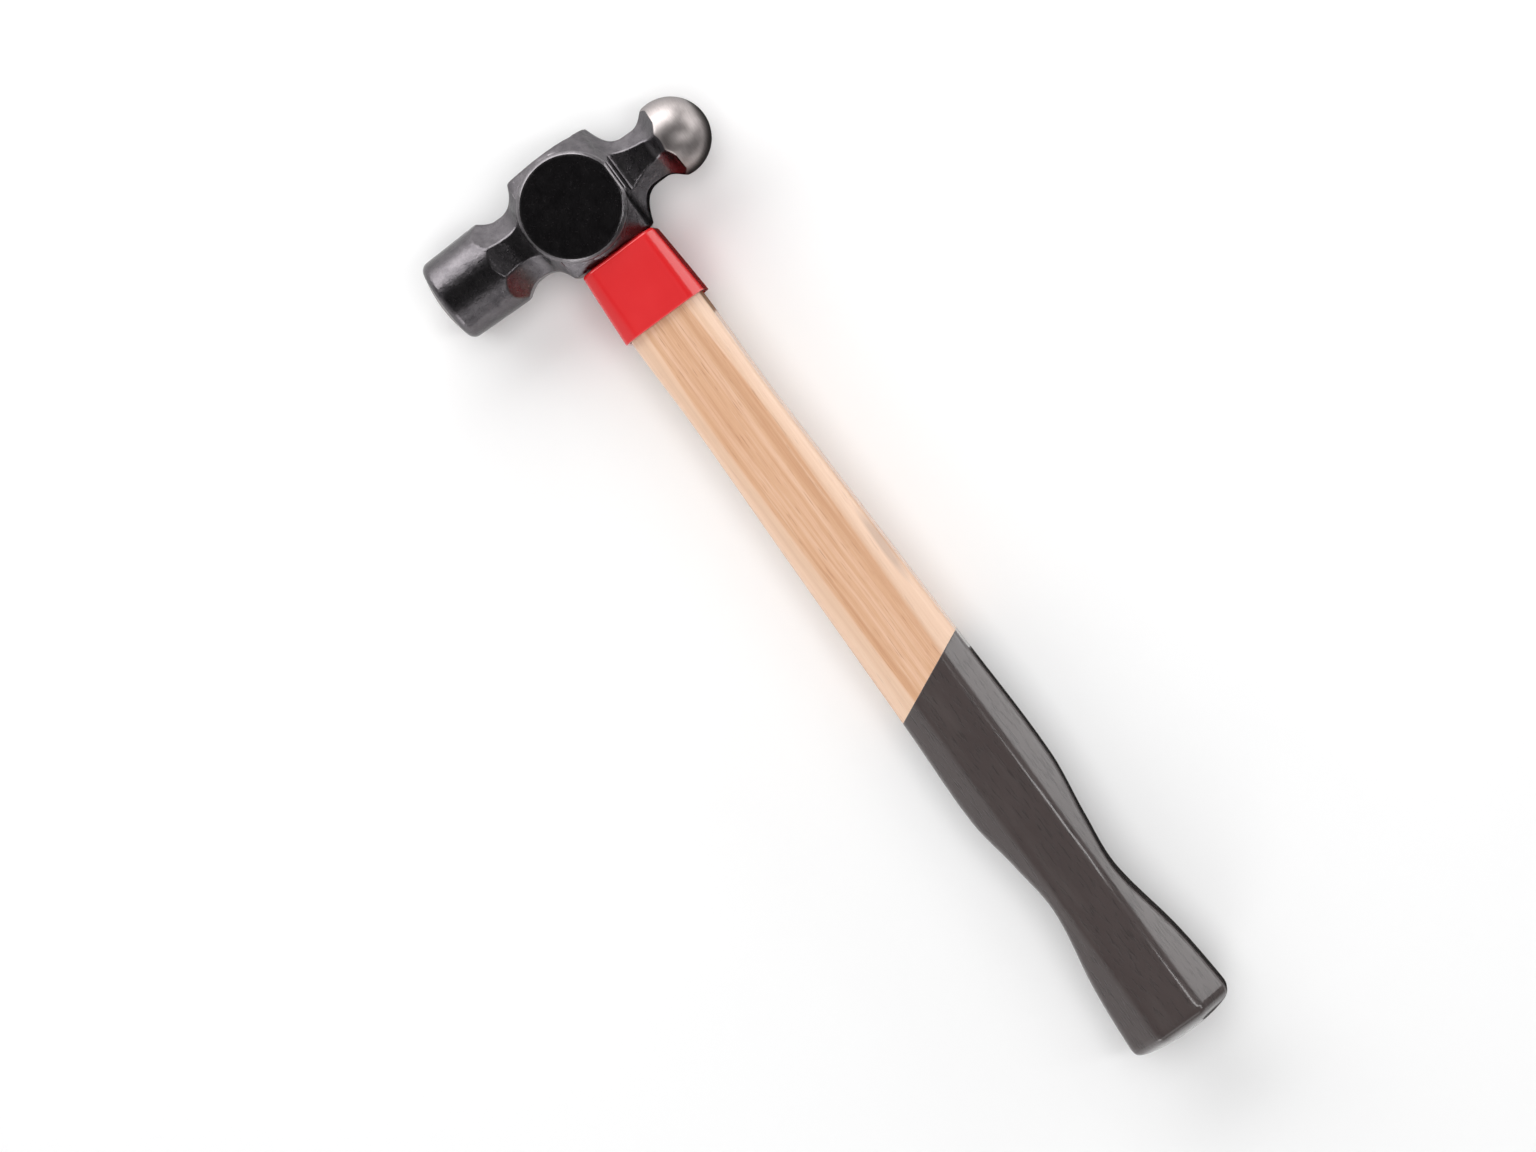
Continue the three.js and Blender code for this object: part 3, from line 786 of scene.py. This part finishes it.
def cheek_masks(n, x, y, z):
    """The cheek's face, machined flat before it is lacquered, and the chamfer round it."""
    across = n.length(n.minus(y, CHEEK_Y), x)
    height = n.math("ABSOLUTE", z)
    face = n.times(n.step(across, CHEEK_FACE_RADIUS + 0.1, CHEEK_FACE_RADIUS),
                   n.step(height, CHEEK - 0.15, CHEEK - 0.02))
    band = n.times(n.step(across, CHEEK_RADIUS + 0.12, CHEEK_RADIUS + 0.02),
                   n.step(height, CHEEK - 1.3, CHEEK - 0.9))
    return face, n.times(band, n.inverse(face))


def lacquer_color(n, coarse, chamfer, facing):
    """Thick black lacquer, worn on the edges, with painted shade that darkens it towards grazing views."""
    worn = n.step(n.plus(n.attribute("edge"), n.times(coarse, 0.5)), 0.55, 1.5)
    color = n.mix(n.step(coarse, 0.3, 0.7), LACQUER_DARK, LACQUER_PALE)
    color = n.mix(n.times(worn, 0.45), color, LACQUER_WORN)
    color = n.mix(n.times(chamfer, 0.12), color, LACQUER_ON_CHAMFER)
    # Painted shade that darkens the lacquer towards grazing views.
    return n.mix(n.step(facing, 0.32, 0.72), color, LACQUER_GRAZING_SHADE)


def bright_color(n, scratch, facing):
    """Brushed bright steel, with painted shade that darkens it towards grazing views as well."""
    color = n.mix(n.step(scratch, 0.3, 0.7), BRIGHT_DARK, BRIGHT_PALE)
    # Painted shade that darkens the bright steel towards grazing views.
    return n.mix(n.step(facing, 0.38, 0.90), color, BRIGHT_GRAZING_SHADE)


def head_material():
    n = Nodes("black lacquer and bright steel")
    x, y, z = n.along("X"), n.along("Y"), n.along("Z")
    bright = bright_mask(n, y)
    cheek, chamfer = cheek_masks(n, x, y, z)
    facing = n.facing()
    # Forged skin under the lacquer.
    coarse = n.noise(n.stretch(2.6, 2.6, 2.6), detail=3, rough=0.6)
    fine = n.noise(n.stretch(0.55, 0.55, 0.55), detail=4, rough=0.6)
    pits = n.cells(n.stretch(1.1, 1.1, 1.1))
    # Turning marks and scratches run round the head's axis.
    turned = n.noise(n.vector(0.0, n.times(y, 5.5), 0.0), detail=5, rough=0.75)
    scratch = n.noise(n.vector(n.times(x, 0.5), n.times(y, 7.0), n.times(z, 0.5)), detail=4, rough=0.7)
    lacquer = lacquer_color(n, coarse, chamfer, facing)
    n.set(Base_Color=n.mix(bright, lacquer, bright_color(n, scratch, facing)), Metallic=1.0)
    lacquer_rough = n.minus(n.plus(0.22, n.times(fine, 0.14)), n.times(cheek, 0.04))
    bright_rough = n.plus(0.31, n.times(turned, 0.18))
    n.set(Roughness=n.plus(n.times(lacquer_rough, n.inverse(bright)), n.times(bright_rough, bright)))
    n.set(Coat_Weight=0.08, Coat_Roughness=0.12)
    forged = n.times(n.inverse(bright), n.inverse(n.times(cheek, 0.93)))
    forged_height = n.plus(n.plus(coarse, n.times(fine, 0.45)), n.times(pits, 0.25))
    mark_height = n.times(n.plus(turned, scratch), n.times(bright, 0.16))
    n.set(Normal=n.bump(n.plus(n.times(forged_height, forged), mark_height), 0.14, 0.75))
    return n.material


WOOD_BANDS = [
    (0.30, linear(202, 152, 114)),
    (0.46, linear(216, 169, 133)),
    (0.58, linear(226, 184, 153)),
    (0.72, linear(219, 174, 138)),
]
WOOD_STREAK, WOOD_PALE_STREAK = linear(194, 138, 98), linear(231, 196, 169)
WOOD_FIBRE, WOOD_DASH = linear(187, 131, 93), linear(160, 105, 72)
# The second colour here is a painted highlight that pales the handle's long chamfers.
WOOD_KNOT, WOOD_CHAMFER_HIGHLIGHT = linear(120, 70, 45), linear(251, 224, 201)
HEART = 46.0  # distance of the tree's heart, towards the ball side
KNOT_X, KNOT_Y = -116.0, -10.6
KNOT_LENGTH, KNOT_WIDTH = 13.0, 1.3


def wood_knot(n, x, y, z):
    """A small knot drawn out along the grain, on the ball side of the upper face."""
    away = n.length(n.math("DIVIDE", n.minus(x, KNOT_X), KNOT_LENGTH),
                    n.math("DIVIDE", n.minus(y, KNOT_Y), KNOT_WIDTH))
    return n.times(n.step(away, 1.0, 0.45), n.step(z, 0.0, 2.0))


def ring_depth(n, y, z):
    """Depth among the growth rings round the heart, with a slow wander along the handle."""
    wander = n.times(n.minus(n.noise(n.stretch(70, 40, 40), detail=2), 0.5), 2.4)
    return n.plus(n.minus(n.length(n.plus(y, HEART), z), HEART), wander)


def drawn_out(n, x, y, z, long, wide=1.0):
    """A place whose pattern is drawn out along the handle by long and across its thickness by wide."""
    return n.vector(n.math("DIVIDE", x, long), y, n.math("DIVIDE", z, wide))


def wood_color(n, x, y, z, fibres, dashes):
    """Straight-grained hickory, with a painted highlight that makes the long chamfers paler."""
    depth = ring_depth(n, y, z)
    bands = n.noise(drawn_out(n, x, depth, z, 90.0, 60.0), scale=0.34)
    streaks = n.noise(drawn_out(n, x, depth, z, 60.0, 14.0), scale=1.5, detail=3, rough=0.6)
    slant = n.plus(n.times(n.math("ABSOLUTE", y), math.cos(CHAMFER_ANGLE)),
                   n.times(n.math("ABSOLUTE", z), math.sin(CHAMFER_ANGLE)))
    color = n.ramp(bands, WOOD_BANDS)
    color = n.mix(n.times(n.step(streaks, 0.52, 0.74), 0.6), color, WOOD_STREAK)
    color = n.mix(n.times(n.step(streaks, 0.47, 0.30), 0.5), color, WOOD_PALE_STREAK)
    color = n.mix(n.times(n.step(fibres, 0.5, 0.78), 0.35), color, WOOD_FIBRE)
    color = n.mix(n.times(dashes, 0.45), color, WOOD_DASH)
    color = n.mix(n.times(wood_knot(n, x, y, z), 0.75), color, WOOD_KNOT)
    # The long chamfers are mixed towards a paler colour: a painted highlight.
    return n.mix(n.times(n.step(slant, 11.5, 11.7), 0.4), color, WOOD_CHAMFER_HIGHLIGHT)


def wood_material():
    n = Nodes("lacquered hickory")
    x, y, z = n.along("X"), n.along("Y"), n.along("Z")
    fibres = n.noise(drawn_out(n, x, y, z, 16.0), scale=3.4, detail=3, rough=0.65)
    dash_place = n.vector(n.math("DIVIDE", x, 7.0), n.times(y, 2.6), n.times(z, 2.6))
    dashes = n.step(n.noise(dash_place, detail=1), 0.66, 0.74)
    n.set(Base_Color=wood_color(n, x, y, z, fibres, dashes))
    n.set(Roughness=n.plus(0.36, n.times(fibres, 0.14)))
    n.set(Coat_Weight=1.0, Coat_Roughness=0.24)
    n.set(Normal=n.bump(n.minus(fibres, n.times(dashes, 0.5)), 0.03, 0.5))
    return n.material


RED_DEEP, RED_LIGHT, RED_WORN = (0.62, 0.013, 0.016), (0.69, 0.019, 0.022), (0.80, 0.22, 0.20)


def red_material():
    n = Nodes("red lacquer")
    cloud = n.noise(n.stretch(9, 9, 9), detail=3)
    peel = n.noise(n.stretch(1.3, 1.3, 1.3), detail=2)
    worn = n.step(n.attribute("edge"), 0.5, 1.6)
    n.set(Base_Color=n.mix(n.times(worn, 0.35), n.mix(cloud, RED_DEEP, RED_LIGHT), RED_WORN))
    n.set(Roughness=n.plus(0.20, n.times(cloud, 0.08)))
    n.set(Coat_Weight=0.7, Coat_Roughness=0.07)
    n.set(Normal=n.bump(peel, 0.01, 0.35))
    return n.material


DIP_DARK, DIP_LIGHT = (0.048, 0.035, 0.034), (0.066, 0.050, 0.048)
# The last colour here is a painted highlight for the bevel of the butt.
DIP_PORE, DIP_RUBBED, DIP_BEVEL_HIGHLIGHT = (0.02, 0.016, 0.015), (0.092, 0.076, 0.072), (0.17, 0.145, 0.14)


def coating_material():
    """Dark dipped lacquer over open grain, rubbed paler in places, with a painted highlight that makes the
    bevel of the butt paler.
    """
    n = Nodes("dark dipped lacquer")
    cloud = n.noise(n.stretch(22, 8, 8), detail=4, rough=0.6)
    pore = n.step(n.noise(n.stretch(5.0, 0.5, 0.5), detail=2, rough=0.5), 0.56, 0.66)
    rubbed = n.step(n.noise(n.stretch(30, 5, 9), detail=3, rough=0.6), 0.52, 0.72)
    bevel = n.step(n.plus(n.along("X"), n.times(cloud, 0.8)), BUTT_END + 3.0, BUTT_END + 1.6)
    color = n.mix(cloud, DIP_DARK, DIP_LIGHT)
    color = n.mix(n.times(pore, 0.4), color, DIP_PORE)
    color = n.mix(n.times(rubbed, 0.35), color, DIP_RUBBED)
    # The bevel of the butt is mixed towards a paler colour: a painted highlight.
    n.set(Base_Color=n.mix(n.times(bevel, 0.6), color, DIP_BEVEL_HIGHLIGHT))
    n.set(Roughness=n.plus(0.3, n.times(cloud, 0.12)))
    n.set(Coat_Weight=1.0, Coat_Roughness=0.15, Coat_IOR=1.65)
    n.set(Normal=n.bump(n.inverse(pore), 0.2, 0.7))
    return n.material


def steel_material(name, tone):
    """Plain machined steel, a little stained."""
    n = Nodes(name)
    marks = n.noise(n.stretch(3.0, 0.25, 3.0), detail=4, rough=0.7)
    stain = n.noise(n.stretch(2.5, 2.5, 2.5), detail=3)
    n.set(Base_Color=n.mix(stain, (tone, tone, tone), (tone * 0.72, tone * 0.70, tone * 0.68)))
    n.set(Metallic=1.0)
    n.set(Roughness=n.plus(0.28, n.times(marks, 0.2)))
    n.set(Normal=n.bump(marks, 0.02, 0.5))
    return n.material


def floor_material():
    n = Nodes("pale floor")
    grain = n.noise(n.stretch(40, 40, 40), detail=3)
    n.set(Base_Color=n.mix(grain, (0.925, 0.925, 0.925), (0.94, 0.94, 0.94)))
    n.set(Roughness=0.75)
    return n.material


def card_material(name):
    """Matt black for a card that only reflections see."""
    n = Nodes(name)
    n.set(Base_Color=(0.01, 0.01, 0.01, 1), Roughness=0.9)
    return n.material


# ---------------------------------------------------------------- pieces

finish_piece(make_head(), "head", head_material(), sharp=32)
finish_piece(make_handle(), "handle", wood_material())
jacket = make_jacket()
edge_wear(jacket.data)
finish_piece(jacket, "handle_jacket", red_material(), sharp=60)
finish_piece(make_plate(), "locking_plate", steel_material("plate steel", 0.5))
finish_piece(make_wedge(), "ring_wedge", steel_material("wedge steel", 0.62))
finish_piece(make_coating(), "grip_coating", coating_material(), sharp=60)

# ---------------------------------------------------------------- floor, light and camera


def sheet(name, width, height, material):
    """A flat rectangle of the stage, centred on the origin, in metres."""
    w, h = width / 2, height / 2
    mesh = bpy.data.meshes.new(name)
    mesh.from_pydata([(-w, -h, 0), (w, -h, 0), (w, h, 0), (-w, h, 0)], [], [(0, 1, 2, 3)])
    mesh.materials.append(material)
    thing = bpy.data.objects.new(name, mesh)
    bpy.context.scene.collection.objects.link(thing)
    thing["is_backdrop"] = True
    return thing


def black_card(name, centre, facing, width, height):
    """A card that only reflections see. Its place and size are in the head's millimetres."""
    card = sheet(name, width * MM, height * MM, card_material(name))
    card.location = (np.array(centre) + CENTRE) * MM
    card.rotation_euler = Vector(facing).to_track_quat("Z", "Y").to_euler()
    card.visible_camera = False
    card.visible_diffuse = False
    card.visible_shadow = False


def softbox(name, azimuth, elevation, distance, size, power):
    """An area light aimed at the middle of the hammer. Azimuth is counted from +X towards +Y."""
    data = bpy.data.lights.new(name, "AREA")
    data.shape = "RECTANGLE"
    data.size, data.size_y = size
    data.energy = power
    lamp = bpy.data.objects.new(name, data)
    a, e = math.radians(azimuth), math.radians(elevation)
    out = Vector((math.cos(a) * math.cos(e), math.sin(a) * math.cos(e), math.sin(e)))
    lamp.location = middle + out * distance
    lamp.rotation_euler = out.to_track_quat("Z", "Y").to_euler()
    lamp.visible_camera = False
    bpy.context.scene.collection.objects.link(lamp)
    return lamp


FLOOR_SIZE = 6.0
sheet("floor", FLOOR_SIZE, FLOOR_SIZE, floor_material())

low, high = (np.array(corner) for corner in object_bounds())
middle = Vector([float(v) for v in (low + high) / 2])

softbox("head end softbox", 0, 24, 1.1, (1.7, 0.8), 13.0)
softbox("ball side softbox", -84, 13, 1.1, (0.8, 0.34), 2.0)
softbox("butt side softbox", 172, 36, 1.2, (0.7, 0.5), 0.8)
softbox("poll side softbox", 138, 20, 1.1, (0.5, 0.4), 1.6)
softbox("ball strip", -117, 54, 1.36, (0.13, 1.2), 2.6)
fill = softbox("overhead fill", 0, 89.9, 1.5, (1.5, 1.5), 14.5)
fill.visible_glossy = False

# One card stands beside the handle. The others lie just over the floor, by the head and by the grip.
LYING = -12.1
black_card("standing card", (-70, -115, 0), (0.60, 0.80, 0.0), 130, 24)
black_card("lying card", (-16, -40, LYING), (0.0, 0.0, 1.0), 52, 68)
black_card("grip card", (-212, -26, LYING), (0.0, 0.0, 1.0), 122, 44)

# The tent's opening leans a little towards the head end. The shaded side is between the butt and the ball.
OPENING = Vector((0.156, 0, 0.988))
SHADED_SIDE = Vector((-0.64, -0.64, 0.42))
# Greys against the cosine of the angle from each.
WALLS = [
    (0.0, 1.0), (0.09, 0.48), (0.2, 0.38), (0.5, 0.30),
    (0.68, 0.20), (0.82, 0.03), (1.0, 0.01),
]
SHADE = [(0.25, 1.0), (0.8, 0.25)]


def greys_by_angle(tree, place, direction, greys):
    dot = tree.nodes.new("ShaderNodeVectorMath")
    dot.operation = "DOT_PRODUCT"
    dot.inputs[1].default_value = direction
    ramp = tree.nodes.new("ShaderNodeValToRGB")
    set_stops(ramp, [(position, (grey, grey, grey)) for position, grey in greys])
    tree.links.new(place, dot.inputs[0])
    tree.links.new(dot.outputs["Value"], ramp.inputs[0])
    return ramp.outputs[0]


def studio_world():
    """A tent: bright low walls, a dark opening overhead, and one side in shade."""
    world = bpy.data.worlds.new("studio")
    bpy.context.scene.world = world
    world.use_nodes = True
    tree = world.node_tree
    tree.nodes.clear()
    place = tree.nodes.new("ShaderNodeTexCoord").outputs["Generated"]
    product = tree.nodes.new("ShaderNodeVectorMath")
    product.operation = "MULTIPLY"
    background = tree.nodes.new("ShaderNodeBackground")
    out = tree.nodes.new("ShaderNodeOutputWorld")
    tree.links.new(greys_by_angle(tree, place, OPENING, WALLS), product.inputs[0])
    tree.links.new(greys_by_angle(tree, place, SHADED_SIDE, SHADE), product.inputs[1])
    tree.links.new(product.outputs[0], background.inputs[0])
    tree.links.new(background.outputs[0], out.inputs[0])


studio_world()

# The camera looks down on the upper cheek, a little from the ball's side.
CAMERA_DISTANCE = 1.3
FRAME_WIDTH = 0.395
SENSOR = 36
ROLL = math.radians(36.2)
YAW = math.radians(5.2)
TARGET = Vector([float(v) for v in (np.array([-105.4, 18.5, 0.0]) + CENTRE) * MM])


def make_camera():
    toward = Vector((0, -math.sin(YAW), math.cos(YAW)))
    shaft = Vector((1, 0, 0))
    left = toward.cross(shaft)
    right = -math.sin(ROLL) * shaft - math.cos(ROLL) * left
    up = math.cos(ROLL) * shaft - math.sin(ROLL) * left
    data = bpy.data.cameras.new("camera")
    data.sensor_width = SENSOR
    data.lens = SENSOR * CAMERA_DISTANCE / FRAME_WIDTH
    data.clip_start = 0.01
    camera = bpy.data.objects.new("camera", data)
    basis = Matrix((right, up, toward)).transposed().to_4x4()
    camera.matrix_world = Matrix.Translation(TARGET + toward * CAMERA_DISTANCE) @ basis
    bpy.context.scene.collection.objects.link(camera)
    return camera


bpy.context.scene.camera = make_camera()
bpy.context.scene.view_settings.view_transform = "Standard"
